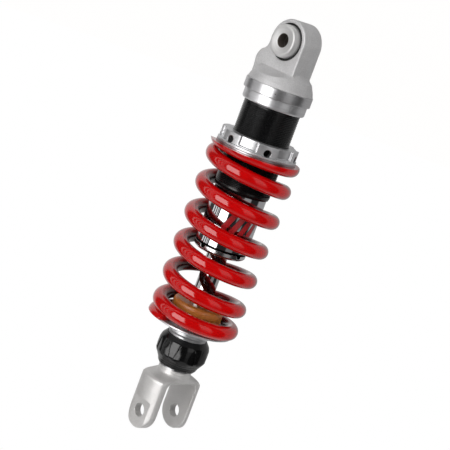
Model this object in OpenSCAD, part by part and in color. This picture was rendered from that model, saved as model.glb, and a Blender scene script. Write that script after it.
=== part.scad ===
// Motorcycle rear shock absorber, coil over damper.
// Frame: origin at the top eye centre, +Z up the shock, bolt axes along Y, millimetres.

/* [Top eye] */
// outside radius of the top eye
eye_r = 19.9; // [19:0.1:21]
// half width of the top eye and its neck
eye_half_w = 11.5; // [10.5:0.1:12.5]
// radius of the bolt bore in the bush
bolt_r = 6.05; // [5.05:0.05:6.55]
// half length of the bush across its collars
bush_half_len = 17.9; // [16:0.1:20]

/* [Body] */
// outside radius of the machined band on the top mount
band_r = 30.4; // [29.5:0.1:31.5]
// outside radius of the threaded body
body_r = 25.5; // [25.2:0.1:25.5]
// bore radius of the damper cylinder
cyl_bore_r = 22; // [21.95:0.05:22.2]
// bottom of the threaded body
body_bot = -136; // [-140:1:-134]

/* [Preload ring] */
// radius of the ring's upper band
ring_r = 35.2; // [34:0.1:36]
// number of spanner holes and of pockets
ring_n = 6; // [4:1:8]
// top of the ring
ring_top = -86; // [-87:0.5:-85]

/* [Spring] */
// wire diameter of the coil spring
wire_d = 13.5; // [11:0.1:13.5]
// mean radius of the coils
coil_r = 34.75; // [34.5:0.05:35.25]
// free pitch of the active coils
coil_pitch = 28.35; // [27.5:0.05:29]

/* [Rod] */
// radius of the damper rod
rod_r = 9.5; // [9:0.1:9.6]
// number of oil ports in the main piston
port_n = 6; // [4:1:8]

/* [Clevis] */
// outside radius of the clevis body
clevis_r = 27.6; // [27:0.1:28]
// half width of the slot between the ears
slot_half_w = 18; // [15:0.5:18]
// radius of the bolt bore in the ears
clevis_bolt_r = 6.05; // [5.05:0.05:6.55]
// half width of the ears across the flats
ear_r = 16.3; // [14.5:0.1:16.5]

/* [Rebound knob] */
// largest radius of the rebound knob
knob_r = 23.5; // [22.5:0.1:24]
// number of grip lobes
knob_n = 6; // [5:1:8]

/* [Hidden] */
eps = 0.01;
lo_eye = -350;
seat_top = -262.6;
ring_bot = -97.8;
coil_top = -99.3;
a = wire_d / 2;
cast_col = [0.72, 0.72, 0.74];
steel_col = [0.62, 0.63, 0.65];
black_col = [0.06, 0.06, 0.07];
rubber_col = [0.03, 0.03, 0.03];
red_col = [0.7, 0.02, 0.02];

// cylinder along Y between y0 and y1
module ycyl(r, y0, y1, z = 0, x = 0, n = 96)
  translate([x, y1, z]) rotate([90, 0, 0]) cylinder(r = r, h = y1 - y0, $fn = n);
// cylinder along X between x0 and x1
module xcyl(r, x0, x1, z = 0, y = 0, n = 48)
  translate([x0, y, z]) rotate([0, 90, 0]) cylinder(r = r, h = x1 - x0, $fn = n);
// upright cylinder between z0 and z1
module zcyl(r, z0, z1, n = 96) translate([0, 0, z0]) cylinder(r = r, h = z1 - z0, $fn = n);
module tube(ro, ri, z0, z1, n = 96) difference() { zcyl(ro, z0, z1, n); zcyl(ri, z0 - 1, z1 + 1, n); }
// profile in X and Z, extruded along Y
module xz(w) translate([0, w, 0]) rotate([90, 0, 0]) linear_extrude(height = 2 * w) children();
// profile in Y and Z, extruded along X
module yz(w) translate([-w, 0, 0]) rotate([90, 0, 90]) linear_extrude(height = 2 * w) children();

module top_mount() color(cast_col) difference() {
  union() {
    ycyl(eye_r, -eye_half_w, eye_half_w);
    // neck and the boss for the gas port
    intersection() {
      xz(eye_half_w) polygon([[19.8, 0], [19.8, -24.4], [22, -27], [24, -33], [24, -38], [-31.6, -38],
        [-31.6, -29], [-33.4, -24], [-33.6, -21], [-32.6, -18], [-30, -15.4], [-26, -13.2], [-22.5, -11.8],
        [-20.4, -9], [-19.8, -5], [-19.8, 0]]);
      union() {
        translate([-31, -eye_half_w, -40]) cube([52, 2 * eye_half_w, 42]);
        translate([-34, -eye_half_w + 3, -40]) cube([40, 2 * eye_half_w - 6, 42]);
        for (s = [-1, 1]) translate([-31, s * (eye_half_w - 3), -40]) cylinder(r = 3, h = 42, $fn = 32);
      }
    }
    // round body under a sloped ledge
    intersection() {
      rotate_extrude($fn = 120) polygon([[0, -20], [20, -22.4], [23, -25.7], [25, -28.3], [26.4, -30.6],
        [28, -34], [29.4, -36.8], [band_r - 0.4, -38.8], [band_r, -39.1], [band_r, -47.1], [band_r - 0.4, -47.5], [0, -47.5]]);
      yz(32) polygon([[0, -21.4], [32, -33.1], [32, -60], [-32, -60], [-32, -33.1]]);
    }
    zcyl(cyl_bore_r - 0.05, -49, -40);
  }
  // bearing bore and seal counterbores
  ycyl(11, -12, 12);
  for (s = [-1, 1]) ycyl(16.35, s > 0 ? 8.1 : -12.5, s > 0 ? 12.5 : -8.1);
  // socket for the cylinder and the threaded body
  tube(25.55, cyl_bore_r - 0.05, -47.6, -41, 120);
  // seal groove in the spigot
  tube(23, cyl_bore_r - 1.8, -46.4, -43.6);
  // gas passage
  zcyl(3, -49.5, -31, 32);
  xcyl(2, -26, 0, -31, n = 24);
  xcyl(5, -36, -24, -31);
}

module body_lock_collar() color(steel_col) rotate_extrude($fn = 120)
  polygon([[25.55, -47.7], [28.1, -47.7], [28.4, -48], [28.4, -55.6], [27.4, -56.6], [25.55, -56.6]]);

module threaded_body() color(black_col) rotate_extrude($fn = 120)
  polygon([[23.8, -41], [body_r - 0.6, -41], [body_r, -41.6], [body_r, body_bot + 2.6], [24.9, body_bot + 0.3],
    [24.5, body_bot], [23.8, body_bot]]);

module damper_cylinder() color([0.8, 0.8, 0.82]) rotate_extrude($fn = 120)
  polygon([[cyl_bore_r, -41], [23.75, -41], [23.75, -186.7], [23.45, -187], [cyl_bore_r, -187]]);

module cylinder_oring() color(rubber_col) tube(cyl_bore_r - 0.02, cyl_bore_r - 1.78, -46.2, -43.8);

module gas_fill_plug() color(steel_col) difference() {
  xcyl(4.98, -31.4, -24, -31);
  difference() { xcyl(6, -28.4, -26.6, -31); xcyl(3.9, -29, -26, -31); }
  xcyl(2.3, -32, -28.6, -31, n = 6);
}
module gas_plug_seal() color(rubber_col) difference() { xcyl(4.96, -28.3, -26.7, -31); xcyl(3.92, -29, -26, -31); }

module top_bearing_bush() color([0.55, 0.42, 0.22]) difference() { ycyl(11, -8, 8); ycyl(9.03, -9, 9); }
module dust_seals() color(rubber_col) for (s = [-1, 1]) difference() {
  ycyl(16.33, s > 0 ? 8.1 : -11.5, s > 0 ? 11.5 : -8.1);
  ycyl(14.6, -20, 20);
}
module bolt_sleeve() color(steel_col) difference() { ycyl(9, -8.15, 8.15); ycyl(bolt_r, -20, 20); }
module bush_collars() color([0.8, 0.8, 0.8]) for (s = [0, 1]) mirror([0, s, 0]) rotate([-90, 0, 0])
  rotate_extrude($fn = 96) polygon([[bolt_r, 8.15], [14.5, 8.15], [14.5, 13], [14.2, bush_half_len - 0.6],
    [13.6, bush_half_len], [bolt_r + 0.5, bush_half_len], [bolt_r, bush_half_len - 0.5]]);

module floating_piston() color(cast_col) rotate_extrude($fn = 96)
  polygon([[0, -68], [15, -68], [17, -64], [cyl_bore_r - 0.45, -64], [cyl_bore_r - 0.05, -64.4], [cyl_bore_r - 0.05, -68.2],
    [cyl_bore_r - 2, -68.2], [cyl_bore_r - 2, -70.8], [cyl_bore_r - 0.05, -70.8], [cyl_bore_r - 0.05, -74.6],
    [cyl_bore_r - 0.45, -75], [0, -75]]);
module floating_piston_oring() color(rubber_col) tube(cyl_bore_r - 0.02, cyl_bore_r - 1.98, -70.7, -68.3);

module shaft_guide() color(cast_col) difference() {
  zcyl(cyl_bore_r - 0.05, -182, -169.2);
  zcyl(11.5, -183, -168);
  zcyl(14, -183, -176.5);
  tube(23, cyl_bore_r - 1.8, -174.4, -171.6);
}
module guide_bush() color([0.55, 0.42, 0.22]) tube(11.48, rod_r + 0.03, -176.4, -169.6);
module shaft_seal() color(rubber_col) rotate_extrude($fn = 96)
  polygon([[rod_r + 0.02, -178], [rod_r + 1, -176.7], [13.98, -176.7], [13.98, -181.9], [rod_r + 0.6, -181.9]]);
module guide_oring() color(rubber_col) tube(cyl_bore_r - 0.02, cyl_bore_r - 1.78, -174.2, -171.8);

module end_cap() color([0.8, 0.8, 0.82]) difference() {
  rotate_extrude($fn = 120) polygon([[rod_r + 0.5, -182.2], [cyl_bore_r - 0.05, -182.2], [cyl_bore_r - 0.05, -187.9],
    [23.4, -187.9], [23.75, -188.2], [23.75, -190.6], [20.6, -193.6], [rod_r + 0.5, -193.6]]);
  zcyl(13, -195, -188.4);
  for (i = [0:3]) rotate([0, 0, 3 + 90 * i]) xcyl(2.4, 20.6, 26, -188.7, n = 32);
}
module shaft_wiper() color(rubber_col) rotate_extrude($fn = 96)
  polygon([[rod_r + 0.4, -188.5], [12.98, -188.5], [12.98, -192.6], [11, -192.6], [rod_r + 0.02, -194.6], [rod_r + 0.4, -191.5]]);

module thrust_washer() color(steel_col) tube(36.4, 26, coil_top, ring_bot, 120);
module preload_ring() color([0.8, 0.8, 0.82]) difference() {
  rotate_extrude($fn = 120) polygon([[25.58, ring_top], [ring_r - 0.6, ring_top], [ring_r, ring_top - 0.6],
    [ring_r, ring_top - 9], [36.2, ring_top - 9.6], [36.2, ring_bot + 0.5], [35.7, ring_bot + eps], [25.58, ring_bot + eps]]);
  for (i = [0:ring_n - 1]) {
    rotate([0, 0, 29 + i * 360 / ring_n]) xcyl(3.3, 29.5, 38, -92.6, n = 40);
    // shallow pocket, open at the top
    rotate([0, 0, -1 + i * 360 / ring_n]) intersection() {
      tube(40, 32.6, ring_top - 8.4, ring_top + 1, 120);
      translate([0, 0, ring_top - 10]) linear_extrude(height = 14)
        polygon([[0, 0], [48 * cos(14), -48 * sin(14)], [48 * cos(14), 48 * sin(14)]]);
    }
  }
}

// height of the wire centre against turns, closed at both ends
t0 = 1.45;
t1 = 5.5;
t_end = 7.13;
function wire_z(t) = -166.3 - coil_pitch * (t - 3)
  - (t < t0 ? 7.68 * (t0 - t) * (t0 - t) : 0)
  + (t > t1 ? 7.3 * (t - t1) * (t - t1) : 0);
coil_seg = 26;
coil_n = floor(t_end * 24);
function clampz(z) = min(coil_top, max(seat_top, z));
coil_pts = [for (i = [0:coil_n]) let (t = t_end * i / coil_n, an = 223 + 360 * t, zc = wire_z(t))
  for (j = [0:coil_seg - 1]) let (p = 360 * (j + 0.5) / coil_seg, r = coil_r + a * cos(p))
    [r * cos(an), r * sin(an), clampz(zc + a * sin(p))]];
coil_faces = concat(
  [for (i = [0:coil_n - 1]) for (j = [0:coil_seg - 1]) let (k = (j + 1) % coil_seg)
    [i * coil_seg + j, i * coil_seg + k, (i + 1) * coil_seg + k]],
  [for (i = [0:coil_n - 1]) for (j = [0:coil_seg - 1]) let (k = (j + 1) % coil_seg)
    [i * coil_seg + j, (i + 1) * coil_seg + k, (i + 1) * coil_seg + j]],
  [[for (j = [coil_seg - 1:-1:0]) j]],
  [[for (j = [0:coil_seg - 1]) coil_n * coil_seg + j]]);
module coil_spring() color(red_col) polyhedron(points = coil_pts, faces = coil_faces, convexity = 10);

module damper_rod() color([0.85, 0.85, 0.87]) difference() {
  union() {
    rotate_extrude($fn = 96) polygon([[0, -163], [rod_r - 0.5, -163], [rod_r, -163.5], [rod_r, -300], [0, -300]]);
    zcyl(5, -163.5, -134, 64);
  }
  zcyl(2, -165, -133, 40);
  zcyl(3.05, -295, -158, 48);
  // bleed port
  xcyl(1, -12, 12, -164.6, n = 20);
  // slot for the cross pin
  hullless_slot(12);
}
// upright slot through the stem for the cross pin, along X
module hullless_slot(l) {
  xcyl(1.6, -l, l, -288.4, n = 32);
  xcyl(1.6, -l, l, -291.6, n = 32);
  translate([-l, -1.6, -291.6]) cube([2 * l, 3.2, 3.2]);
}

module piston_nut() color(steel_col) difference() { zcyl(9.8, -141, -134.4, 6); zcyl(5.02, -142, -133, 64); }
module nut_washer() color(steel_col) tube(9, 5.02, -142.5, -141.02, 72);
module rebound_shims() color(steel_col) difference() {
  union() { zcyl(17, -145.5, -144.5); zcyl(14.5, -144.6, -143.5); zcyl(12, -143.6, -142.52); }
  zcyl(5.02, -146, -142, 64);
}
module main_piston() color([0.5, 0.5, 0.52]) difference() {
  zcyl(cyl_bore_r - 0.4, -157.48, -145.52);
  zcyl(5.02, -158, -145, 64);
  tube(23, cyl_bore_r - 1.6, -154.5, -148.5);
  for (i = [0:port_n - 1]) rotate([0, 0, i * 360 / port_n]) translate([13.2, 0, -158]) cylinder(r = 2.1, h = 14, $fn = 32);
}
module piston_band() color([0.2, 0.3, 0.25]) difference() {
  tube(cyl_bore_r - 0.02, cyl_bore_r - 1.58, -154.4, -148.6);
  translate([19, -0.4, -156]) cube([5, 0.8, 9]);
}
module compression_shims() color(steel_col) difference() {
  union() { zcyl(17, -158.5, -157.5); zcyl(14.5, -159.6, -158.4); zcyl(12, -160.48, -159.5); }
  zcyl(5.02, -161, -157, 64);
}
module cup_washer() color(steel_col) tube(12.5, 5.02, -162.98, -160.5);
module top_out_bumper() color([0.1, 0.1, 0.1]) rotate_extrude($fn = 72)
  polygon([[rod_r + 0.02, -166], [12.5, -166], [13, -166.5], [13, -168.6], [12.5, -169.1], [rod_r + 0.02, -169.1]]);

module bump_stop() color([0.65, 0.33, 0.08]) rotate_extrude($fn = 96)
  polygon([[rod_r + 0.1, -243.2], [21, -243.2], [23, -244.4], [23.5, -246.4], [23.5, seat_top - 0.0], [rod_r + 0.1, seat_top]]);

module lower_spring_seat() color([0.78, 0.78, 0.8]) rotate_extrude($fn = 120)
  polygon([[rod_r + 0.02, seat_top], [24, seat_top], [24, -258.4], [24.6, -257.8], [26.9, -257.8], [27.5, -258.6],
    [27.5, seat_top], [37.1, seat_top], [37.5, seat_top - 0.4], [37.5, seat_top - 1.4], [37.1, seat_top - 1.8], [27.5, seat_top - 1.8],
    [27.5, -266.6], [26.4, -267.6], [19.6, -268.2], [19.4, -268.6], [19.4, -272.3], [17.8, -273.6], [17.5, -274.2], [17.5, -277.8], [rod_r + 0.02, -277.8]]);

module clevis() color([0.74, 0.74, 0.74]) difference() {
  union() {
    // stem
    rotate_extrude($fn = 96) polygon([[0, -277.82], [14.4, -277.82], [14.8, -278.2], [14.8, -312.5], [0, -312.5]]);
    intersection() {
      rotate_extrude($fn = 120) polygon([[0, -309.4], [14.8, -309.4], [15.2, -311], [16.4, -312.3], [19, -313.4], [23.6, -314.9],
        [26.2, -316.2], [clevis_r, -318.4], [clevis_r, -370], [0, -370]]);
      xz(30) union() {
        translate([-ear_r, lo_eye]) square([2 * ear_r, 45]);
        translate([0, lo_eye]) circle(r = ear_r, $fn = 96);
      }
    }
  }
  // slot between the ears
  yz(30) union() {
    translate([-slot_half_w + 6, -370]) square([2 * slot_half_w - 12, 370 - 316.4]);
    translate([-slot_half_w, -370]) square([2 * slot_half_w, 370 - 322.4]);
    for (s = [-1, 1]) translate([s * (slot_half_w - 6), -322.4]) circle(r = 6, $fn = 64);
  }
  // milled flats for the bolt head and nut
  for (s = [-1, 1]) translate([0, s * (25.5 + 5), 0]) xz(5) union() {
    translate([-13, -370]) square([26, 370 - 344.8]);
    translate([-6.8, -370]) square([13.6, 370 - 338.6]);
    for (u = [-1, 1]) translate([u * 6.8, -344.8]) circle(r = 6.2, $fn = 64);
  }
  ycyl(clevis_bolt_r, -30, 30, lo_eye, n = 72);
  // bore for the rod, slot for the cross pin, clip groove, detent hole
  zcyl(rod_r + 0.02, -300.02, -276);
  hullless_slot(16);
  tube(18, 14, -306.05, -304.85);
  ycyl(1.6, 10.2, 16, -298, n = 48);
}
module detent_ball() color(steel_col) translate([0, 13.6, -298]) sphere(r = 1.5, $fn = 32);
module detent_spring() color(steel_col) difference() { ycyl(1.45, 10.22, 12.05, -298, n = 48); ycyl(0.9, 9, 13, -298, n = 48); }

module rebound_knob() color(black_col) difference() {
  intersection() {
    rotate_extrude($fn = 120) polygon([[0, -275.7], [18.3, -275.7], [19.4, -276.4], [22.3, -279.8], [23.1, -284], [knob_r, -290],
      [knob_r - 0.3, -295], [knob_r - 1.5, -298.6], [19.4, -303.2], [17.9, -304.7], [0, -304.7]]);
    // ridges, slanted facets and flats
    union() {
      for (i = [0:knob_n - 1]) rotate([0, 0, -4 + i * 360 / knob_n]) {
        translate([0, 0, -306]) linear_extrude(height = 32) polygon([[0, 0], [23.6, -3.1], [23.6, 3.1]]);
        for (s = [-1, 1]) translate([0, 0, -306]) linear_extrude(height = 32)
          polygon([[0, 0], [22.9, s * 3.0], [20.2, s * 8.6], [19.2, s * 11.2], [0, 0]]);
      }
      zcyl(21.6, -306, -274, 90);
    }
  }
  zcyl(14.88, -306, -270);
  zcyl(17.8, -278, -270);
  tube(18.5, 14, -293.3, -286.7);
  tube(15.3, 14, -299.6, -296.4);
}
module knob_clip() color(steel_col) difference() {
  tube(16.4, 14.02, -305.95, -304.9);
  translate([0, -2.5, -308]) cube([20, 5, 5]);
}
module rebound_needle() color(steel_col) difference() {
  rotate_extrude($fn = 48) polygon([[0, -160.2], [1.2, -160.2], [2.95, -165.5], [2.95, -293], [0, -293]]);
  xcyl(1.5, -5, 5, -290, n = 32);
}
module cross_pin() color(steel_col) xcyl(1.48, -17, 17, -290, n = 32);

top_mount();
body_lock_collar();
threaded_body();
damper_cylinder();
cylinder_oring();
gas_fill_plug();
gas_plug_seal();
top_bearing_bush();
dust_seals();
bolt_sleeve();
bush_collars();
floating_piston();
floating_piston_oring();
shaft_guide();
guide_bush();
shaft_seal();
guide_oring();
end_cap();
shaft_wiper();
thrust_washer();
preload_ring();
coil_spring();
damper_rod();
piston_nut();
nut_washer();
rebound_shims();
main_piston();
piston_band();
compression_shims();
cup_washer();
top_out_bumper();
bump_stop();
lower_spring_seat();
clevis();
detent_ball();
detent_spring();
rebound_knob();
knob_clip();
rebound_needle();
cross_pin();
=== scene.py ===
import math

import bpy
import numpy as np
from mathutils import Matrix, Vector


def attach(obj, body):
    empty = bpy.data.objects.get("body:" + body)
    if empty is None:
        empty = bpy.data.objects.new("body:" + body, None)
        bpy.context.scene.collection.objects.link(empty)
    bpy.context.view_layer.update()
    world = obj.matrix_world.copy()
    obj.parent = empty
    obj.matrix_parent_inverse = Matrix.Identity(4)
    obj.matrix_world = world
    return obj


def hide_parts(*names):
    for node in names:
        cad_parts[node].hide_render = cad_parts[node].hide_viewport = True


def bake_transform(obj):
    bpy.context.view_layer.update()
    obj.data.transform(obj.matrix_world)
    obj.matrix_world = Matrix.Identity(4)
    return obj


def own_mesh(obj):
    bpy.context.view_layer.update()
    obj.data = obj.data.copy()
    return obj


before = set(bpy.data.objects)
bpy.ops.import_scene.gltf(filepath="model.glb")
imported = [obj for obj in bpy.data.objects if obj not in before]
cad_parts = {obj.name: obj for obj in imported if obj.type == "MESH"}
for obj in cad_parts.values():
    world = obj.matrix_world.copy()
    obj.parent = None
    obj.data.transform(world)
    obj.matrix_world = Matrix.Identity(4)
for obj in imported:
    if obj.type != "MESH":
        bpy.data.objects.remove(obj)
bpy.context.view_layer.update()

MM = 0.001
sc = bpy.context.scene

# ---------------------------------------------------------------- camera
AZ, EL, ROLL = math.radians(43.0), math.radians(11.2), math.radians(20.4)
DIST, LENS = 1.205, 109.6
RIGHT = Vector((math.cos(AZ), math.sin(AZ), 0))
BACK = Vector((math.sin(AZ) * math.cos(EL), -math.cos(AZ) * math.cos(EL), math.sin(EL)))
UP = BACK.cross(RIGHT)
target = Vector((0, 0, -0.1692)) - 0.00304 * RIGHT
cam_data = bpy.data.cameras.new("camera")
cam_data.sensor_width = 36
cam_data.lens = LENS
cam_data.clip_end = 60
cam = bpy.data.objects.new("camera", cam_data)
sc.collection.objects.link(cam)
m = Matrix((RIGHT, UP, BACK)).transposed().to_4x4()
cam.matrix_world = Matrix.Translation(target + DIST * BACK) @ m @ Matrix.Rotation(ROLL, 4, "Z")
sc.camera = cam


# ---------------------------------------------------------------- materials
def new_mat(name):
    mt = bpy.data.materials.new(name)
    mt.use_nodes = True
    nt = mt.node_tree
    return mt, nt, nt.nodes["Principled BSDF"]


def link(nt, a, b):
    nt.links.new(a, b)


def math_node(nt, op, a, b=None, c=None):
    n = nt.nodes.new("ShaderNodeMath")
    n.operation = op
    for i, v in enumerate((a, b, c)):
        if v is None:
            continue
        if isinstance(v, (int, float)):
            n.inputs[i].default_value = v
        else:
            link(nt, v, n.inputs[i])
    return n.outputs[0]


def obj_coords(nt):
    tc = nt.nodes.new("ShaderNodeTexCoord")
    return tc.outputs["Object"]


def noise(nt, vec, scale, detail=3.0, rough=0.55, dim="3D"):
    n = nt.nodes.new("ShaderNodeTexNoise")
    n.noise_dimensions = dim
    link(nt, vec, n.inputs["Vector"])
    n.inputs["Scale"].default_value = scale
    n.inputs["Detail"].default_value = detail
    n.inputs["Roughness"].default_value = rough
    return n.outputs["Fac"]


def ramp(nt, fac, stops):
    r = nt.nodes.new("ShaderNodeValToRGB")
    link(nt, fac, r.inputs["Fac"])
    el = r.color_ramp.elements
    while len(el) < len(stops):
        el.new(0.5)
    for e, (p, c) in zip(el, stops):
        e.position = p
        e.color = (*c, 1) if len(c) == 3 else c
    return r.outputs["Color"]


def map_range(nt, v, a, b, c, d):
    n = nt.nodes.new("ShaderNodeMapRange")
    link(nt, v, n.inputs["Value"])
    for k, x in zip(("From Min", "From Max", "To Min", "To Max"), (a, b, c, d)):
        n.inputs[k].default_value = x
    return n.outputs["Result"]


def bump(nt, bsdf, height, strength, dist):
    b = nt.nodes.new("ShaderNodeBump")
    b.inputs["Strength"].default_value = strength
    b.inputs["Distance"].default_value = dist
    link(nt, height, b.inputs["Height"])
    link(nt, b.outputs["Normal"], bsdf.inputs["Normal"])
    return b


def ring_vector(nt, k, axis="Z"):
    """Coordinates that run along a turned part's profile, so noise on them makes rings round its axis."""
    s = nt.nodes.new("ShaderNodeSeparateXYZ")
    link(nt, obj_coords(nt), s.inputs[0])
    x, y, z = s.outputs
    if axis == "Y":
        x, y, z = x, z, y
    r = math_node(nt, "SQRT", math_node(nt, "ADD", math_node(nt, "MULTIPLY", x, x), math_node(nt, "MULTIPLY", y, y)))
    c = nt.nodes.new("ShaderNodeCombineXYZ")
    link(nt, math_node(nt, "MULTIPLY", r, k), c.inputs[0])
    link(nt, math_node(nt, "MULTIPLY", z, k), c.inputs[1])
    return c.outputs[0]


def paint_hollow_shade(nt, b, dark):
    """Painted shade: darkens and dulls the places that the mesh marks as lying in shade, such as down a hole."""
    at = nt.nodes.new("ShaderNodeAttribute")
    at.attribute_name = "painted_shade"
    col = b.inputs["Base Color"].links[0].from_socket
    mx = nt.nodes.new("ShaderNodeMix")
    mx.data_type = "RGBA"
    link(nt, at.outputs["Fac"], mx.inputs["Factor"])
    link(nt, col, mx.inputs["A"])
    mx.inputs["B"].default_value = (*dark, 1)
    link(nt, mx.outputs["Result"], b.inputs["Base Color"])
    rg = b.inputs["Roughness"].links[0].from_socket
    link(nt, math_node(nt, "ADD", rg, math_node(nt, "MULTIPLY", at.outputs["Fac"], 0.4)), b.inputs["Roughness"])


def mark(o, fn):
    """Stores fn(x, y, z) in millimetres as the mesh's share of painted shade."""
    co = np.empty(len(o.data.vertices) * 3, np.float32)
    o.data.vertices.foreach_get("co", co)
    c = co.reshape(-1, 3) * 1000
    at = o.data.attributes.new("painted_shade", "FLOAT", "POINT")
    at.data.foreach_set("value", np.clip(fn(c[:, 0], c[:, 1], c[:, 2]), 0, 1).astype(np.float32))
    return o


def mat_cast():
    """Bead-blasted cast alloy: even fine grain and faint blotches."""
    mt, nt, b = new_mat("m_cast")
    v = obj_coords(nt)
    grain = math_node(nt, "ADD", math_node(nt, "MULTIPLY", noise(nt, v, 60, 4), 0.5), math_node(nt, "MULTIPLY", noise(nt, v, 1100, 2, 0.7), 0.5))
    fine = math_node(nt, "ADD", noise(nt, v, 2600, 2), math_node(nt, "MULTIPLY", noise(nt, v, 800, 2), 1.6))
    link(nt, ramp(nt, grain, [(0.34, (0.52, 0.515, 0.52)), (0.66, (0.70, 0.695, 0.70))]), b.inputs["Base Color"])
    b.inputs["Metallic"].default_value = 0.62
    link(nt, map_range(nt, noise(nt, v, 900, 3), 0.3, 0.7, 0.50, 0.62), b.inputs["Roughness"])
    bump(nt, b, fine, 0.6, 0.00022)
    return mt


def mat_clevis():
    mt, nt, b = new_mat("m_clevis")
    v = obj_coords(nt)
    grain = math_node(nt, "ADD", math_node(nt, "MULTIPLY", noise(nt, v, 45, 4), 0.6), math_node(nt, "MULTIPLY", noise(nt, v, 1000, 2, 0.7), 0.4))
    fine = math_node(nt, "ADD", noise(nt, v, 2400, 2), math_node(nt, "MULTIPLY", noise(nt, v, 700, 2), 1.2))
    link(nt, ramp(nt, grain, [(0.34, (0.55, 0.54, 0.53)), (0.66, (0.67, 0.66, 0.655))]), b.inputs["Base Color"])
    b.inputs["Metallic"].default_value = 0.5
    link(nt, map_range(nt, noise(nt, v, 900, 3), 0.3, 0.7, 0.36, 0.46), b.inputs["Roughness"])
    bump(nt, b, fine, 0.5, 0.00016)
    return mt


def mat_turned(name, col, rough, axis="Z", metallic=1.0, depth=0.00002, wide=0.04, painted_shade=None):
    """Turned metal: fine tool rings round the axis, roughness varying with them."""
    mt, nt, b = new_mat(name)
    rv = ring_vector(nt, 1.0, axis)
    rings = noise(nt, rv, 5200, 2, dim="2D")
    broad = noise(nt, rv, 500, 3, dim="2D")
    dust = noise(nt, obj_coords(nt), 130, 5)
    lo = tuple(c * 0.90 for c in col)
    link(nt, ramp(nt, broad, [(0.3, lo), (0.7, col)]), b.inputs["Base Color"])
    b.inputs["Metallic"].default_value = metallic
    link(nt, map_range(nt, dust, 0.3, 0.7, max(0.02, rough - wide), rough + wide), b.inputs["Roughness"])
    bump(nt, b, rings, 0.25, depth)
    # painted shade: the hollows that the mesh marks are darkened towards the given dark colour
    if painted_shade:
        paint_hollow_shade(nt, b, painted_shade)
    return mt


def mat_chrome(name, rough=0.07, col=(0.72, 0.72, 0.74)):
    mt, nt, b = new_mat(name)
    v = obj_coords(nt)
    link(nt, ramp(nt, noise(nt, v, 90, 4), [(0.3, tuple(c * 0.96 for c in col)), (0.7, col)]), b.inputs["Base Color"])
    b.inputs["Metallic"].default_value = 1.0
    link(nt, map_range(nt, noise(nt, v, 400, 4), 0.3, 0.75, rough * 0.7, rough * 1.3), b.inputs["Roughness"])
    bump(nt, b, noise(nt, ring_vector(nt, 1.0), 3000, 2, dim="2D"), 0.05, 0.00001)
    return mt


def mat_tube():
    """Chromed tube with a generic decal: slanted red bars between thin silver edges, no lettering."""
    mt, nt, b = new_mat("m_tube")
    s = nt.nodes.new("ShaderNodeSeparateXYZ")
    link(nt, obj_coords(nt), s.inputs[0])
    x, y, z = s.outputs
    # distance round the tube from the middle of the decal
    ca, sa = math.cos(math.radians(-17)), math.sin(math.radians(-17))
    u = math_node(nt, "ADD", math_node(nt, "MULTIPLY", x, ca), math_node(nt, "MULTIPLY", y, sa))
    v = math_node(nt, "ADD", math_node(nt, "MULTIPLY", x, -sa), math_node(nt, "MULTIPLY", y, ca))
    arc = math_node(nt, "MULTIPLY", math_node(nt, "ARCTAN2", v, u), 0.02375)
    # parallel bars that lean over, each with a thin dark edge
    lean = math_node(nt, "ADD", arc, math_node(nt, "MULTIPLY", math_node(nt, "ADD", z, 0.160), -0.45))
    ph = math_node(nt, "DIVIDE", lean, 0.0085)
    saw = math_node(nt, "SUBTRACT", ph, math_node(nt, "FLOOR", ph))
    off = math_node(nt, "ABSOLUTE", math_node(nt, "SUBTRACT", saw, 0.5))
    inside = math_node(nt, "LESS_THAN", math_node(nt, "ABSOLUTE", lean), 0.017)
    tall = math_node(nt, "LESS_THAN", math_node(nt, "ABSOLUTE", math_node(nt, "ADD", z, 0.160)), 0.0095)
    area = math_node(nt, "MULTIPLY", inside, tall)
    mask = math_node(nt, "MULTIPLY", math_node(nt, "LESS_THAN", off, 0.38), area)
    core = math_node(nt, "MULTIPLY", math_node(nt, "LESS_THAN", off, 0.32), area)
    ink = nt.nodes.new("ShaderNodeMix")
    ink.data_type = "RGBA"
    link(nt, core, ink.inputs["Factor"])
    ink.inputs["A"].default_value = (0.012, 0.012, 0.013, 1)
    ink.inputs["B"].default_value = (0.36, 0.006, 0.010, 1)
    mix = nt.nodes.new("ShaderNodeMix")
    mix.data_type = "RGBA"
    link(nt, mask, mix.inputs["Factor"])
    chrome = ramp(nt, noise(nt, obj_coords(nt), 90, 4), [(0.3, (0.66, 0.66, 0.68)), (0.7, (0.70, 0.70, 0.72))])
    link(nt, chrome, mix.inputs["A"])
    link(nt, ink.outputs["Result"], mix.inputs["B"])
    link(nt, mix.outputs["Result"], b.inputs["Base Color"])
    link(nt, math_node(nt, "SUBTRACT", 1.0, mask), b.inputs["Metallic"])
    link(nt, map_range(nt, mask, 0, 1, 0.07, 0.30), b.inputs["Roughness"])
    return mt


def mat_black(name="m_black", col=0.012, rough=0.30, spec=0.5):
    """Black anodised alloy: satin, with faint tool rings."""
    mt, nt, b = new_mat(name)
    v = obj_coords(nt)
    link(nt, ramp(nt, noise(nt, v, 150, 4), [(0.3, (col * 0.8, col * 0.8, col * 0.85)), (0.7, (col * 1.2, col * 1.2, col * 1.3))]),
         b.inputs["Base Color"])
    b.inputs["Metallic"].default_value = 0.0
    b.inputs["Specular IOR Level"].default_value = spec
    link(nt, map_range(nt, noise(nt, v, 700, 3), 0.3, 0.7, rough - 0.05, rough + 0.05), b.inputs["Roughness"])
    bump(nt, b, noise(nt, v, 3000, 2), 0.15, 0.00003)
    return mt


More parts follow.
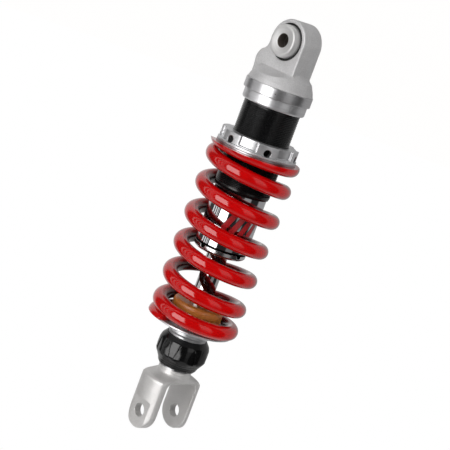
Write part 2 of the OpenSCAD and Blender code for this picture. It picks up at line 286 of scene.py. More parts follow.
def mat_red():
    """Gloss powder coat over steel, with slight orange peel."""
    mt, nt, b = new_mat("m_red")
    v = obj_coords(nt)
    link(nt, ramp(nt, noise(nt, v, 70, 3), [(0.3, (0.42, 0.0008, 0.001)), (0.7, (0.49, 0.001, 0.0015))]), b.inputs["Base Color"])
    b.inputs["Metallic"].default_value = 0.0
    link(nt, map_range(nt, noise(nt, v, 260, 3), 0.3, 0.7, 0.10, 0.16), b.inputs["Roughness"])
    # painted shade: the inner side of the coils is darkened towards a near-black red
    paint_hollow_shade(nt, b, (0.05, 0.0006, 0.001))
    b.inputs["Specular IOR Level"].default_value = 0.1
    b.inputs["Coat Weight"].default_value = 1.0
    b.inputs["Coat Roughness"].default_value = 0.05
    bump(nt, b, noise(nt, v, 420, 2), 0.12, 0.00006)
    return mt


def mat_rubber():
    mt, nt, b = new_mat("m_rubber")
    v = obj_coords(nt)
    link(nt, ramp(nt, noise(nt, v, 300, 3), [(0.3, (0.008, 0.008, 0.008)), (0.7, (0.016, 0.016, 0.016))]), b.inputs["Base Color"])
    link(nt, map_range(nt, noise(nt, v, 800, 3), 0.3, 0.7, 0.42, 0.58), b.inputs["Roughness"])
    bump(nt, b, noise(nt, v, 2500, 2), 0.2, 0.00004)
    return mt


def mat_urethane():
    """Amber cast polyurethane: slightly translucent, a little cloudy."""
    mt, nt, b = new_mat("m_urethane")
    v = obj_coords(nt)
    link(nt, ramp(nt, noise(nt, v, 140, 4), [(0.3, (0.42, 0.13, 0.022)), (0.7, (0.56, 0.19, 0.035))]), b.inputs["Base Color"])
    link(nt, map_range(nt, noise(nt, v, 500, 3), 0.3, 0.7, 0.28, 0.40), b.inputs["Roughness"])
    b.inputs["Subsurface Weight"].default_value = 0.25
    b.inputs["Subsurface Radius"].default_value = (0.004, 0.0018, 0.0006)
    b.inputs["Subsurface Scale"].default_value = 1.0
    bump(nt, b, noise(nt, v, 900, 3), 0.2, 0.00006)
    return mt


# painted shade: the last colour given to turned, turned_y and cap is painted shade for their holes, bores and grooves
M = {
    "cast": mat_cast(),
    "clevis": mat_clevis(),
    "turned": mat_turned("m_turned", (0.74, 0.74, 0.755), 0.36, metallic=0.85, painted_shade=(0.012, 0.011, 0.010)),
    "turned_y": mat_turned("m_turned_y", (0.76, 0.755, 0.75), 0.42, axis="Y", metallic=0.72, depth=0.00004, painted_shade=(0.17, 0.145, 0.125)),
    "band": mat_turned("m_band", (0.66, 0.655, 0.67), 0.30, metallic=0.92),
    "chrome": mat_chrome("m_chrome"),
    "cap": mat_turned("m_cap", (0.74, 0.74, 0.75), 0.20, metallic=1.0, painted_shade=(0.008, 0.008, 0.008)),
    "rod": mat_chrome("m_rod", 0.05, (0.70, 0.69, 0.70)),
    "tube": mat_tube(),
    "black": mat_black(col=0.006, spec=0.3),
    "thread": mat_black("m_thread", 0.0045, 0.24, 0.45),
    "knob": mat_black("m_knob", 0.004, 0.14, 0.5),
    "red": mat_red(),
    "rubber": mat_rubber(),
    "urethane": mat_urethane(),
    "steel": mat_turned("m_steel", (0.50, 0.50, 0.51), 0.32),
    "bronze": mat_turned("m_bronze", (0.46, 0.30, 0.13), 0.38),
    "ptfe": mat_turned("m_ptfe", (0.05, 0.09, 0.07), 0.5, metallic=0.0),
}


# ---------------------------------------------------------------- mesh helpers
def add_mesh(name, verts, faces, mat, smooth_deg=None, normals=None):
    me = bpy.data.meshes.new(name)
    verts = np.asarray(verts, np.float64)
    if isinstance(faces, np.ndarray):
        nf, k = faces.shape
        me.vertices.add(len(verts))
        me.vertices.foreach_set("co", verts.astype(np.float32).ravel())
        me.loops.add(nf * k)
        me.loops.foreach_set("vertex_index", faces.astype(np.int32).ravel())
        me.polygons.add(nf)
        me.polygons.foreach_set("loop_start", np.arange(0, nf * k, k, dtype=np.int32))
        me.update(calc_edges=True)
    else:
        me.from_pydata([tuple(v) for v in verts], [], faces)
    me.validate()
    me.polygons.foreach_set("use_smooth", np.ones(len(me.polygons), bool))
    if smooth_deg is not None:
        me.set_sharp_from_angle(angle=math.radians(smooth_deg))
    if normals is not None and len(me.vertices) == len(normals):
        me.normals_split_custom_set_from_vertices([tuple(n) for n in normals])
    me.materials.append(mat)
    o = bpy.data.objects.new(name, me)
    sc.collection.objects.link(o)
    return o


def round_poly(pts, r=0.35, seg=4, keep=()):
    """Closed (r, z) outline with each corner rounded by up to radius r. A point may be (r, z, its own radius)."""
    n, out = len(pts), []
    for i, p in enumerate(pts):
        rad = p[2] if len(p) > 2 else r
        p0, p1, p2 = (np.array(pts[(i + k) % n][:2], float) for k in (-1, 0, 1))
        a, b = p0 - p1, p2 - p1
        la, lb = np.linalg.norm(a), np.linalg.norm(b)
        if la < 1e-9 or lb < 1e-9:
            continue
        a, b = a / la, b / lb
        ang = math.acos(max(-1, min(1, float(a @ b))))
        if rad <= 0 or ang > math.radians(176):
            out.append(p1)
            continue
        cut = min(rad / math.tan(ang / 2), la * 0.45, lb * 0.45)
        rr = cut * math.tan(ang / 2)
        centre = p1 + (a + b) / np.linalg.norm(a + b) * (rr / math.sin(ang / 2))
        s, e = p1 + a * cut - centre, p1 + b * cut - centre
        t0, t1 = math.atan2(s[1], s[0]), math.atan2(e[1], e[0])
        d = (t1 - t0 + math.pi) % (2 * math.pi) - math.pi
        for k in range(seg + 1):
            t = t0 + d * k / seg
            out.append(centre + rr * np.array([math.cos(t), math.sin(t)]))
    return np.array(out)


def lathe(name, prof, mat, seg=128, smooth=38, axis="Z", r=0.35, body=None, round_=True):
    """Turns a closed (r, z) outline in millimetres round Z or Y. Outlines never touch the axis."""
    p = round_poly(prof, r) if round_ else np.array(prof, float)
    area = 0.5 * np.sum(p[:, 0] * np.roll(p[:, 1], -1) - np.roll(p[:, 0], -1) * p[:, 1])
    if area < 0:
        p = p[::-1]
    th = np.arange(seg) * 2 * math.pi / seg
    n = len(p)
    v = np.empty((seg, n, 3))
    v[:, :, 0] = np.cos(th)[:, None] * p[None, :, 0]
    v[:, :, 1] = np.sin(th)[:, None] * p[None, :, 0]
    v[:, :, 2] = p[None, :, 1]
    if axis == "Y":
        v = np.stack([v[:, :, 0], v[:, :, 2], -v[:, :, 1]], -1)
    i, j = np.meshgrid(np.arange(seg), np.arange(n), indexing="ij")
    i2, j2 = (i + 1) % seg, (j + 1) % n
    f = np.stack([i * n + j, i2 * n + j, i2 * n + j2, i * n + j2], -1).reshape(-1, 4)
    return add_mesh(name, v.reshape(-1, 3) * MM, f, mat, smooth)


# signed distances, in millimetres, negative inside
def smin(a, b, k):
    h = np.maximum(k - np.abs(a - b), 0) / np.maximum(k, 1e-9)
    return np.minimum(a, b) - h * h * k * 0.25


def smax(a, b, k):
    return -smin(-a, -b, k)


def sd_poly(px, py, pts):
    """Signed distance to a closed polygon."""
    pts = np.asarray(pts, float)
    d = np.full(px.shape, 1e9)
    s = np.ones(px.shape)
    n = len(pts)
    for i in range(n):
        a, b = pts[i], pts[i - 1]
        ex, ey = b[0] - a[0], b[1] - a[1]
        wx, wy = px - a[0], py - a[1]
        t = np.clip((wx * ex + wy * ey) / (ex * ex + ey * ey), 0, 1)
        bx, by = wx - ex * t, wy - ey * t
        d = np.minimum(d, bx * bx + by * by)
        c1, c2, c3 = py >= a[1], py < b[1], ex * wy > ey * wx
        flip = (c1 & c2 & c3) | (~c1 & ~c2 & ~c3)
        s = np.where(flip, -s, s)
    return s * np.sqrt(d)


def sdf_mesh(name, f, lo, hi, h, mat, fix=None):
    """Meshes the zero level of f over the box lo..hi with a grid of h, by surface nets, then settles the points on the surface."""
    ax = [np.arange(a, b + h, h) for a, b in zip(lo, hi)]
    nx, ny, nz = (len(a) for a in ax)
    val = np.empty((nx, ny, nz))
    for i0 in range(0, nx, 16):
        X, Y, Z = np.meshgrid(ax[0][i0:i0 + 16], ax[1], ax[2], indexing="ij")
        val[i0:i0 + 16] = f(X, Y, Z)
    ins = val < 0
    cnt = sum(ins[a:nx - 1 + a, b:ny - 1 + b, c:nz - 1 + c].astype(np.int8) for a in (0, 1) for b in (0, 1) for c in (0, 1))
    cells = np.argwhere((cnt > 0) & (cnt < 8))
    idx = -np.ones((nx - 1, ny - 1, nz - 1), np.int64)
    idx[cells[:, 0], cells[:, 1], cells[:, 2]] = np.arange(len(cells))
    acc, num = np.zeros((len(cells), 3)), np.zeros(len(cells))
    corners = [(a, b, c) for a in (0, 1) for b in (0, 1) for c in (0, 1)]
    for ca in corners:
        for d in range(3):
            if ca[d]:
                continue
            cb = list(ca)
            cb[d] = 1
            va = val[cells[:, 0] + ca[0], cells[:, 1] + ca[1], cells[:, 2] + ca[2]]
            vb = val[cells[:, 0] + cb[0], cells[:, 1] + cb[1], cells[:, 2] + cb[2]]
            cross = (va < 0) != (vb < 0)
            t = np.where(cross, va / np.where(cross, va - vb, 1), 0)
            p = np.array(ca, float)[None, :] + t[:, None] * np.eye(3)[d][None, :]
            acc += np.where(cross[:, None], p, 0)
            num += cross
    pos = (cells + acc / num[:, None]) * h + np.array([a[0] for a in ax])
    quads = []
    for d in range(3):
        e = [1 if k == d else 0 for k in range(3)]
        a = ins[:nx - e[0], :ny - e[1], :nz - e[2]]
        b = ins[e[0]:, e[1]:, e[2]:]
        ch = np.argwhere(a != b)
        o1, o2 = [k for k in range(3) if k != d]
        ok = (ch[:, o1] > 0) & (ch[:, o2] > 0) & (ch[:, o1] < (nx, ny, nz)[o1] - 1) & (ch[:, o2] < (nx, ny, nz)[o2] - 1)
        ch = ch[ok]
        sign = a[ch[:, 0], ch[:, 1], ch[:, 2]]
        q = []
        for s1, s2 in ((1, 1), (0, 1), (0, 0), (1, 0)):
            c = ch.copy()
            c[:, o1] -= s1
            c[:, o2] -= s2
            q.append(idx[c[:, 0], c[:, 1], c[:, 2]])
        q = np.stack(q, -1)
        flip = sign if d != 1 else ~sign
        q[~flip] = q[~flip][:, ::-1]
        quads.append(q)
    quads = np.concatenate(quads)
    eps = 0.02

    def grad(p):
        g = np.empty_like(p)
        for k in range(3):
            d = np.zeros(3)
            d[k] = eps
            a, b = p + d, p - d
            g[:, k] = (f(a[:, 0], a[:, 1], a[:, 2]) - f(b[:, 0], b[:, 1], b[:, 2])) / (2 * eps)
        return g

    start = pos.copy()
    for _ in range(3):
        v = f(pos[:, 0], pos[:, 1], pos[:, 2])
        g = grad(pos)
        step = -(v / np.maximum((g * g).sum(1), 0.25))[:, None] * g
        ln = np.linalg.norm(step, axis=1, keepdims=True)
        pos = pos + step * np.minimum(1, 0.35 * h / np.maximum(ln, 1e-9))
    g = grad(pos)
    nrm = g / np.maximum(np.linalg.norm(g, axis=1, keepdims=True), 1e-9)
    return add_mesh(name, pos * MM, quads, mat, normals=nrm)


def put(o, body, slot, *nodes):
    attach(o, body)
    if nodes:
        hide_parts(*nodes)
    return o


# ---------------------------------------------------------------- top mount
NECK = [(19.8, 0.5), (19.8, -24.4), (20.4, -25.6), (22, -27.2), (24, -32), (24, -40), (-31.2, -40), (-31.3, -30), (-32.9, -24.5),
        (-33.3, -21.5), (-32.6, -18.4), (-30.4, -15.6), (-26.6, -13.4), (-23, -12.0), (-20.9, -9.6), (-19.9, -6), (-19.8, 0.5)]
DOME = [(0, -18), (18, -21), (22.9, -25.5), (25.3, -28.3), (26.8, -31.3), (28.6, -35.0), (29.9, -38.9), (29.9, -41), (0, -41)]


def f_top(x, y, z):
    ay = np.abs(y)
    prof = np.minimum(np.sqrt(x * x + z * z) - 19.9, sd_poly(x, z, NECK))
    k = np.clip((-x - 24) / 8, 0, 1)
    k = k * k * (3 - 2 * k) * 8 + 1.5
    neck = smax(prof, ay - 11.45, k)
    r = np.sqrt(x * x + y * y)
    dome = sd_poly(r, z, DOME)
    roof = (z + 21.4 + ay * 0.36) / 1.063
    dome = smax(dome, roof, 0.7)
    d = smin(neck, dome, 0.9)
    d = smax(d, -(z + 38.8), 0.3)
    # machined: seal counterbores, bearing bore and gas port
    rb = np.sqrt(x * x + z * z)
    d = smax(d, -np.maximum(rb - 16.38, 8.1 - ay), 0.5)
    d = np.maximum(d, -(rb - 11.05))
    port = np.sqrt(y * y + (z + 31) ** 2)
    d = smax(d, -np.maximum(port - 5.1, x + 24), 0.6)
    return d


put(sdf_mesh("top_mount_cast", f_top, (-35, -31, -39.8), (31, 31, 21), 0.5, M["cast"]), "damper_body", "cast_alloy", "top_mount")
put(lathe("top_mount_band", [(22.1, -38.75), (30.2, -38.75), (30.4, -39.1), (30.4, -47.2), (30.1, -47.5), (25.56, -47.5), (25.56, -41.1), (22.1, -41.1)],
          M["band"], 160, r=0.25), "damper_body", "cast_alloy")
put(lathe("top_mount_spigot", [(3.0, -40.5), (21.95, -40.5), (21.95, -43.6), (20.2, -43.6), (20.2, -46.4), (21.95, -46.4), (21.95, -49), (3.0, -49)],
          M["band"], 96, r=0.2), "damper_body", "cast_alloy")
put(lathe("lock_collar", [(25.55, -47.7), (28.15, -47.7), (28.4, -48), (28.4, -55.5), (27.5, -56.6), (25.55, -56.6)], M["turned"], 160, r=0.2),
    "damper_body", "turned_alloy", "body_lock_collar")

# eye bush, its seals and sleeve
for s, nm in ((1, "pos"), (-1, "neg")):
    prof = [(6.05, 8.15), (14.5, 8.15), (14.5, 13.2), (14.3, 16.4, 1.5), (13.2, 17.9, 1.2), (11.5, 17.9, 0.6), (6.3, 17.0), (6.05, 16.8)]
    col = lathe("bush_collar_" + nm, [(q[0], s * q[1], *q[2:]) for q in prof], M["turned_y"], 128, axis="Y", r=0.25)
    # painted shade: the bore of the collar is darkened
    mark(col, lambda x, y, z: 1.2 - (np.sqrt(x * x + z * z) - 6.05) / 0.2)
    put(col, "top_bush", "turned_alloy", *(["bush_collars"] if s > 0 else []))
    prof = [(14.62, 8.15), (16.33, 8.15), (16.33, 11.3), (15.9, 11.5), (15.3, 11.1), (14.62, 11.45)]
    put(lathe("eye_seal_" + nm, [(a, s * b) for a, b in prof], M["rubber"], 128, axis="Y", r=0.25), "damper_body", "rubber",
        *(["dust_seals"] if s > 0 else []))
sleeve = lathe("eye_sleeve", [(6.05, -8.15), (9.0, -8.15), (9.0, 8.15), (6.05, 8.15)], M["turned_y"], 96, axis="Y", r=0.2)
# painted shade: the bore of the sleeve is darkened
mark(sleeve, lambda x, y, z: 1.2 - (np.sqrt(x * x + z * z) - 6.05) / 0.2)
put(sleeve, "top_bush", "steel", "bolt_sleeve")


# ---------------------------------------------------------------- threaded body
def threaded(name, r0, z_top, z_bot, pitch, depth, mat, seg=144, start=0.0):
    """A tube whose outside carries a right-hand helical thread, with plain ends."""
    rows = int((z_top - z_bot) / pitch * 6)
    z = np.linspace(z_top, z_bot, rows + 1)
    th = np.arange(seg) * 2 * math.pi / seg
    Z, T = np.meshgrid(z, th, indexing="ij")
    ph = (Z / pitch - T / (2 * math.pi)) % 1.0
    tri = 1 - np.abs(2 * ph - 1)
    cut = np.clip((tri - 0.12) / 0.76, 0, 1) * depth
    fade = np.clip((z_top - Z) / pitch, 0, 1) * np.clip((Z - z_bot) / pitch, 0, 1)
    R = r0 - cut * fade
    ring = np.stack([R * np.cos(T), R * np.sin(T), Z], -1)
    extra_top = [(r0 - 0.6, z_top + 0.6)]
    rows_v = [ring[i] for i in range(rows + 1)]

    def plain(r, zz):
        return np.stack([r * np.cos(th), r * np.sin(th), np.full(seg, zz)], -1)
    rows_v = [plain(23.8, -41), plain(r0 - 0.5, -41), plain(r0, -41.5), plain(r0, z_top + 0.05)] + rows_v + \
             [plain(r0, -133.5), plain(r0 - 0.05, -133.7), plain(24.9, -135.7), plain(24.5, -136), plain(23.8, -136), plain(23.8, -90)]
    v = np.concatenate(rows_v)
    n = len(rows_v)
    i, j = np.meshgrid(np.arange(n), np.arange(seg), indexing="ij")
    i2, j2 = (i + 1) % n, (j + 1) % seg
    f = np.stack([i * seg + j, i2 * seg + j, i2 * seg + j2, i * seg + j2], -1).reshape(-1, 4)
    return add_mesh(name, v * MM, f, mat, 50)


put(threaded("threaded_tube", 25.5, -57.5, -132.6, 1.5, 0.62, M["thread"]), "damper_body", "black_anodised", "threaded_body")

put(lathe("damper_tube", [(22.0, -41), (23.75, -41), (23.75, -186.3), (23.45, -186.6), (22.0, -186.6)], M["tube"], 160, r=0.15),
    "damper_body", "chrome", "damper_cylinder")


# ---------------------------------------------------------------- end cap
CAP = [(10, -182.2), (21.9, -182.2), (21.9, -187.9), (23.3, -187.9), (23.75, -188.5), (23.75, -191.6), (23.2, -192.4), (21.6, -193.5), (10, -193.6)]


def f_cap(x, y, z):
    r = np.sqrt(x * x + y * y)
    d = sd_poly(r, z, CAP) - 0.0
    d = np.maximum(d, -np.maximum(r - 13, z + 188.4))
    for i in range(4):
        a = math.radians(3 + 90 * i)
        u, v = x * math.cos(a) + y * math.sin(a), -x * math.sin(a) + y * math.cos(a)
        d = smax(d, -np.maximum(np.sqrt(v * v + (z + 188.7) ** 2) - 2.4, 20.6 - u), 0.3)
    return d


# painted shade mask: the notches and the groove under the tube, with the cap above it, are darkened
def cap_gaps(x, y, z):
    r, th = np.sqrt(x * x + y * y), np.arctan2(y, x)
    per = math.radians(90)
    q = (th - math.radians(3) + per / 2) % per - per / 2
    near = np.sqrt((r * np.sin(q)) ** 2 + (z + 188.7) ** 2)
    notch = np.clip((2.7 - near) / 0.3, 0, 1) * np.clip((23.6 - r) / 0.3, 0, 1)
    return np.maximum(notch, np.clip((z + 188.6) / 0.3, 0, 1))


cap = sdf_mesh("end_cap_part", f_cap, (-24.4, -24.4, -194.2), (24.4, 24.4, -181.6), 0.4, M["cap"])
mark(cap, cap_gaps)
put(cap, "damper_body", "chrome", "end_cap")

# ---------------------------------------------------------------- preload ring and washer
RING = [(25.6, -86.0), (34.7, -86.0), (35.2, -86.5), (35.2, -95.1), (36.2, -95.7), (36.2, -97.3), (35.8, -97.75), (25.6, -97.75)]


def f_ring(x, y, z):
    r = np.sqrt(x * x + y * y)
    d = sd_poly(r, z, RING)
    for i in range(6):
        a = math.radians(29 + 60 * i)
        u, v = x * math.cos(a) + y * math.sin(a), -x * math.sin(a) + y * math.cos(a)
        d = smax(d, -np.maximum(np.sqrt(v * v + (z + 92.6) ** 2) - 3.3, 27.0 - u), 0.4)
        a = math.radians(-1 + 60 * i)
        u, v = x * math.cos(a) + y * math.sin(a), -x * math.sin(a) + y * math.cos(a)
        side = (np.abs(v) - u * math.tan(math.radians(14))) * math.cos(math.radians(14))
        pocket = smax(smax(side, 32.7 - r, 0.8), -(z + 94.4), 1.2)
        d = smax(d, -np.maximum(pocket, -u), 0.4)
    return d


# painted shade mask: the inside of the pin holes is darkened
def ring_holes(x, y, z):
    r, th = np.sqrt(x * x + y * y), np.arctan2(y, x)
    per = math.radians(60)
    q = (th - math.radians(29) + per / 2) % per - per / 2
    near = np.sqrt((r * np.sin(q)) ** 2 + (z + 92.6) ** 2)
    return np.clip((3.5 - near) / 0.3, 0, 1) * np.clip((35.0 - r) / 0.6, 0, 1) * (r > 26.5)


ring = sdf_mesh("preload_ring_part", f_ring, (-37, -37, -98.4), (37, 37, -85.4), 0.42, M["turned"])
mark(ring, ring_holes)
put(ring, "adjuster_ring", "turned_alloy", "preload_ring")
put(lathe("thrust_ring", [(26, -99.3), (36.4, -99.3), (36.4, -97.8), (26, -97.8)], M["steel"], 160, r=0.2), "spring_carrier", "steel", "thrust_washer")

# ---------------------------------------------------------------- coil spring
WIRE_R, COIL_R, PITCH, T_END, T_SPLIT = 6.75, 34.75, 28.35, 7.13, 1.5
Z_TOP, Z_SEAT = -99.3, -262.6
T0, T1 = 1.45, 5.5


def wire_z(t):
    return -166.3 - PITCH * (t - 3) - np.where(t < T0, 7.68 * (T0 - t) ** 2, 0) + np.where(t > T1, 7.3 * (t - T1) ** 2, 0)


def coil_piece(name, ta, tb, weight):
    """A length of the wire from turn ta to tb. weight(t) gives how far each section would follow the second body; the
    values are worked out but not used.
    """
    seg, nt = 48, int(round((tb - ta) * 72))
    t = np.linspace(ta, tb, nt + 1)
    p = (np.arange(seg) + 0.5) * 2 * math.pi / seg
    Tt, P = np.meshgrid(t, p, indexing="ij")
    an = np.radians(223) + 2 * math.pi * Tt
    r = COIL_R + WIRE_R * np.cos(P)
    z = np.clip(wire_z(Tt) + WIRE_R * np.sin(P), Z_SEAT + 0.02, Z_TOP - 0.02)
    v = np.stack([r * np.cos(an), r * np.sin(an), z], -1).reshape(-1, 3)
    i, j = np.meshgrid(np.arange(nt), np.arange(seg), indexing="ij")
    j2 = (j + 1) % seg
    f = np.stack([i * seg + j, i * seg + j2, (i + 1) * seg + j2, (i + 1) * seg + j], -1).reshape(-1, 4).tolist()
    # each end is closed with a fan about its middle
    for row, back in ((0, True), (nt, False)):
        c = len(v)
        v = np.vstack([v, v[row * seg:(row + 1) * seg].mean(0)])
        for k in range(seg):
            q = (row * seg + k, row * seg + (k + 1) % seg, c)
            f.append(q[::-1] if back else q)
    o = add_mesh(name, v * MM, f, M["red"], 50)
    w = np.clip(weight(t), 0, 1)
    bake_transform(o)
    # painted shade: darker red on the side of the wire that faces the rod, where little light reaches
    mark(o, lambda x, y, z: (COIL_R - 1.5 - np.sqrt(x * x + y * y)) / 4.0 * 0.85)
    return o


def upper_weight(t):
    u = np.clip((t - 1.0) / (T_SPLIT - 1.0), 0, 1)
    return 1 - u


def lower_weight(t):
    """Weights each part of the wire in proportion to the free gap beside it, so that the coils would close together
    without crossing.
    """
    tt = np.linspace(T_SPLIT, T_END, 2001)
    gap = np.maximum(-np.gradient(wire_z(tt), tt) - 13.5, 0)
    gap[tt > 6.0] = 0
    cum = np.concatenate([[0], np.cumsum((gap[1:] + gap[:-1]) / 2 * np.diff(tt))])
    return np.interp(t, tt, cum / cum[-1])


coil_top = coil_piece("coil_upper", 0, T_SPLIT, upper_weight)
coil_low = coil_piece("coil_lower", T_SPLIT, T_END, lower_weight)
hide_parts("coil_spring")

# ---------------------------------------------------------------- rod, bump stop, lower seat
put(lathe("rod_bar", [(2.0, -134), (5.0, -134), (5.0, -163), (9.0, -163), (9.5, -163.5), (9.5, -287), (3.05, -287), (3.05, -158.2), (2.0, -158.2)],
          M["rod"], 96, r=0.2), "shaft", "chrome", "damper_rod")
stop = lathe("bump_stop_part", [(9.7, -243.2), (20.6, -243.2, 1.0), (22.9, -244.2, 1.5), (23.5, -246.6, 2), (23.5, -250.6, 1), (22.9, -252.2, 1.2), (23.5, -253.8, 1),
                                (23.5, -262.4), (9.7, -262.4)], M["urethane"], 128, r=0.6)
put(stop, "shaft", "polyurethane", "bump_stop")
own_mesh(stop)
put(lathe("lower_seat_part", [(9.52, -262.6), (24, -262.6), (24, -258.4), (24.6, -257.8), (26.9, -257.8), (27.5, -258.6), (27.5, -262.6), (37.1, -262.6),
                              (37.5, -263.0), (37.5, -264.0), (37.1, -264.4), (27.5, -264.4), (27.5, -266.6), (26.4, -267.6), (19.6, -268.2), (19.4, -268.6),
                              (19.4, -272.3), (17.8, -273.6), (17.5, -274.2), (17.5, -277.8), (9.52, -277.8)], M["turned"], 160, r=0.3),
    "shaft", "turned_alloy", "lower_spring_seat")

# ---------------------------------------------------------------- rebound knob
KNOB = [(0, -275.7), (18.0, -275.7), (19.4, -276.5), (22.1, -279.9), (23.2, -283), (23.75, -289), (23.6, -293.2), (22.6, -295.3), (19.2, -300.8),
        (17.9, -304), (17.3, -304.7), (0, -304.7)]


def f_knob(x, y, z):
    r = np.sqrt(x * x + y * y)
    d = sd_poly(r, z, KNOB)
    # ring lines on the lower cone
    d = d + 0.12 * np.clip(1 - np.abs(((z + 295) % 2.1) - 1.05) * 2.2, 0, 1) * (z < -296.6) * (z > -304)
    th = np.arctan2(y, x)
    per = math.radians(60)
    q = (th - math.radians(-5.0) + per / 2) % per - per / 2
    t = math.radians(8)
    facet = r * np.cos(np.abs(q) - t) - 22.85
    wide = np.clip((z + 295) / 15.5, 0, 1) * 7.7 + 5.3
    edge = r * np.sin(np.abs(q) - np.radians(wide))
    rib = np.maximum(r - 23.5, edge)
    # each rib ends in an arch just above the cone
    arch = np.maximum(0.0, -(z + 294.2) - 1.2 * np.cos(np.clip(q / math.radians(8), -1, 1) * math.pi / 2))
    rib = rib + arch * 0.8
    flat = smin(facet, rib, 0.25)
    d = smax(d, flat, 0.6)
    # a fine groove down each side of a rib
    line = np.maximum(np.maximum(np.abs(edge) - 0.38, 22.3 - r), -(z + 294.6))
    d = smax(d, -line, 0.2)
    d = np.maximum(d, -np.maximum(r - 14.88, -(z + 306)))
    d = smax(d, -np.maximum(r - 17.8, -(z + 278)), 0.3)
    return d


put(sdf_mesh("rebound_knob_part", f_knob, (-24.2, -24.2, -305.3), (24.2, 24.2, -275.1), 0.38, M["knob"]), "adjuster_knob", "black_anodised", "rebound_knob")

# ---------------------------------------------------------------- clevis
CLEV = [(0, -309), (14.8, -309), (15.1, -311), (16.3, -312.2), (19, -313.3), (23.6, -314.8), (26.0, -316.0), (27.2, -317.3), (27.6, -319), (27.6, -372), (0, -372)]


def f_clevis(x, y, z):
    r = np.sqrt(x * x + y * y)
    ax_, ay = np.abs(x), np.abs(y)
    body = sd_poly(r, z, CLEV)
    ear = np.where(z > -350, ax_ - 16.25, np.sqrt(x * x + (z + 350) ** 2) - 16.25)
    body = smax(body, ear, 2.4)
    # milled flats for the bolt head and nut
    fx, fz = np.maximum(ax_ - 6.8, 0), np.maximum(z + 344.8, 0)
    flat = np.sqrt(fx * fx + fz * fz) - 6.2
    body = smax(body, -np.maximum(flat, 25.5 - ay), 0.3)
    stem = np.maximum(r - 14.8, z + 277.85)
    stem = np.maximum(stem, -(z + 312.5))
    d = smin(body, stem, 1.6)
    # slot with rounded inner corners
    qy, qz = ay - 12, z + 322.4
    slot = np.where(qz > 0, np.where(qy > 0, np.sqrt(np.maximum(qy, 0) ** 2 + np.maximum(qz, 0) ** 2) - 6, qz - 6), qy - 6)
    d = smax(d, -slot, 1.0)
    rb = np.sqrt(x * x + (z + 350) ** 2)
    d = smax(d, -(rb - 6.05), 0.25)
    # rod bore and clip groove
    d = np.maximum(d, -np.maximum(r - 9.52, -(z + 300)))
    d = np.maximum(d, -np.maximum(np.maximum(14 - r, z + 304.85), -(z + 306.05)))
    return d


put(sdf_mesh("clevis_part", f_clevis, (-17.2, -28.4, -367.2), (17.2, 28.4, -277.0), 0.5, M["clevis"]), "shaft", "cast_alloy", "clevis")

# ---------------------------------------------------------------- CAD nodes that stay
KEEP = {
    "cylinder_oring": "rubber", "gas_fill_plug": "steel", "gas_plug_seal": "rubber", "top_bearing_bush": "bronze", "floating_piston": "turned",
    "floating_piston_oring": "rubber", "shaft_guide": "turned", "guide_bush": "bronze", "shaft_seal": "rubber", "guide_oring": "rubber",
    "shaft_wiper": "rubber", "piston_nut": "steel", "nut_washer": "steel", "rebound_shims": "steel", "main_piston": "turned", "piston_band": "ptfe",
    "compression_shims": "steel", "cup_washer": "steel", "top_out_bumper": "rubber", "detent_ball": "steel", "detent_spring": "steel",
    "knob_clip": "steel", "rebound_needle": "steel", "cross_pin": "steel",
}
for n, mk in KEEP.items():
    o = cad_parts[n]
    o.data.materials.clear()
    o.data.materials.append(M[mk])


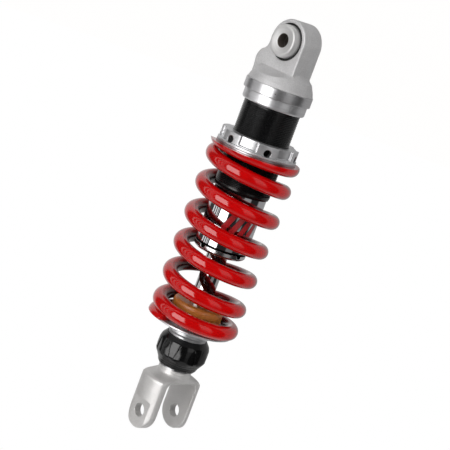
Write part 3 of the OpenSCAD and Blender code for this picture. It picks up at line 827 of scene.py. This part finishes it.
# ---------------------------------------------------------------- studio
def studio():
    w = bpy.data.worlds.new("studio")
    sc.world = w
    w.use_nodes = True
    nt = w.node_tree
    nt.nodes.clear()
    out = nt.nodes.new("ShaderNodeOutputWorld")
    tc = nt.nodes.new("ShaderNodeTexCoord")
    s = nt.nodes.new("ShaderNodeSeparateXYZ")
    link(nt, tc.outputs["Generated"], s.inputs[0])
    x, y, z = s.outputs
    vx, vy = math.sin(AZ), -math.cos(AZ)
    toward = math_node(nt, "ADD", math_node(nt, "MULTIPLY", x, vx), math_node(nt, "MULTIPLY", y, vy))
    side = math_node(nt, "ADD", math_node(nt, "MULTIPLY", x, RIGHT.x), math_node(nt, "MULTIPLY", y, RIGHT.y))
    psi = math_node(nt, "MULTIPLY", math_node(nt, "ARCTAN2", side, toward), 180 / math.pi)
    el = math_node(nt, "MULTIPLY", math_node(nt, "ARCSINE", z), 180 / math.pi)

    def box(v, a, b, soft):
        up = map_range(nt, v, a - soft, a + soft, 0, 1)
        dn = map_range(nt, v, b - soft, b + soft, 1, 0)
        return math_node(nt, "MULTIPLY", up, dn)

    l1 = math_node(nt, "MULTIPLY", box(psi, -54, -18, 1.5), box(el, -22, 40, 2))
    l2 = math_node(nt, "MULTIPLY", box(psi, 25, 56, 1.5), box(el, -28, 50, 3))
    l2 = math_node(nt, "MULTIPLY", l2, map_range(nt, el, -16, 12, 0.25, 1.0))
    back = math_node(nt, "ADD", map_range(nt, psi, -132, -122, 0.6, 0), map_range(nt, psi, 92, 100, 0, 0.34))
    left = math_node(nt, "MULTIPLY", box(psi, -127, -57, 3), 0.03)
    for a0, a1 in ((-96, -90), (-83, -78), (-72, -68), (-64, -62)):
        left = math_node(nt, "ADD", left, math_node(nt, "MULTIPLY", box(psi, a0, a1, 0.8), 1.1))
    top = map_range(nt, el, 55, 75, 0, 0.15)
    bottom = map_range(nt, el, -60, -35, 0.4, 0)
    base = math_node(nt, "ADD", 0.022, math_node(nt, "ADD", left, math_node(nt, "ADD", math_node(nt, "MAXIMUM", top, bottom), back)))
    gl = math_node(nt, "ADD", base, math_node(nt, "ADD", math_node(nt, "MULTIPLY", l1, 4.3), math_node(nt, "MULTIPLY", l2, 0.7)))
    df = math_node(nt, "ADD", math_node(nt, "MAXIMUM", base, 0.52), math_node(nt, "ADD", math_node(nt, "MULTIPLY", l1, 2.1), math_node(nt, "MULTIPLY", l2, 2.5)))
    lp = nt.nodes.new("ShaderNodeLightPath")

    def bg(strength):
        b = nt.nodes.new("ShaderNodeBackground")
        b.inputs["Color"].default_value = (1, 0.995, 0.99, 1)
        if isinstance(strength, float):
            b.inputs["Strength"].default_value = strength
        else:
            link(nt, strength, b.inputs["Strength"])
        return b.outputs[0]

    m1 = nt.nodes.new("ShaderNodeMixShader")
    link(nt, lp.outputs["Is Diffuse Ray"], m1.inputs[0])
    link(nt, bg(gl), m1.inputs[1])
    link(nt, bg(df), m1.inputs[2])
    m2 = nt.nodes.new("ShaderNodeMixShader")
    link(nt, lp.outputs["Is Camera Ray"], m2.inputs[0])
    link(nt, m1.outputs[0], m2.inputs[1])
    link(nt, bg(1.0), m2.inputs[2])
    link(nt, m2.outputs[0], out.inputs[0])
    w.cycles.sampling_method = "MANUAL"
    w.cycles.sample_map_resolution = 1024


studio()

# floor: a plain pale disc well below the part, evenly lit so that it meets the backdrop without a line
fl_mat = bpy.data.materials.new("m_floor")
fl_mat.use_nodes = True
fnt = fl_mat.node_tree
fnt.nodes.clear()
em = fnt.nodes.new("ShaderNodeEmission")
em.inputs["Color"].default_value = (1, 1, 1, 1)
fo = fnt.nodes.new("ShaderNodeOutputMaterial")
link(fnt, em.outputs[0], fo.inputs[0])
bpy.ops.mesh.primitive_circle_add(vertices=96, radius=9, fill_type="NGON", location=(0, 0, -0.95))
floor = bpy.context.object
floor.name = "floor"
floor.data.materials.append(fl_mat)
floor.visible_glossy = False
floor.visible_diffuse = False

sc.view_settings.view_transform = "Standard"
sc.view_settings.look = "None"
sc.view_settings.exposure = 0.0
sc.view_settings.gamma = 1.0
sc.cycles.max_bounces = 8
sc.cycles.glossy_bounces = 6
sc.cycles.use_denoising = True
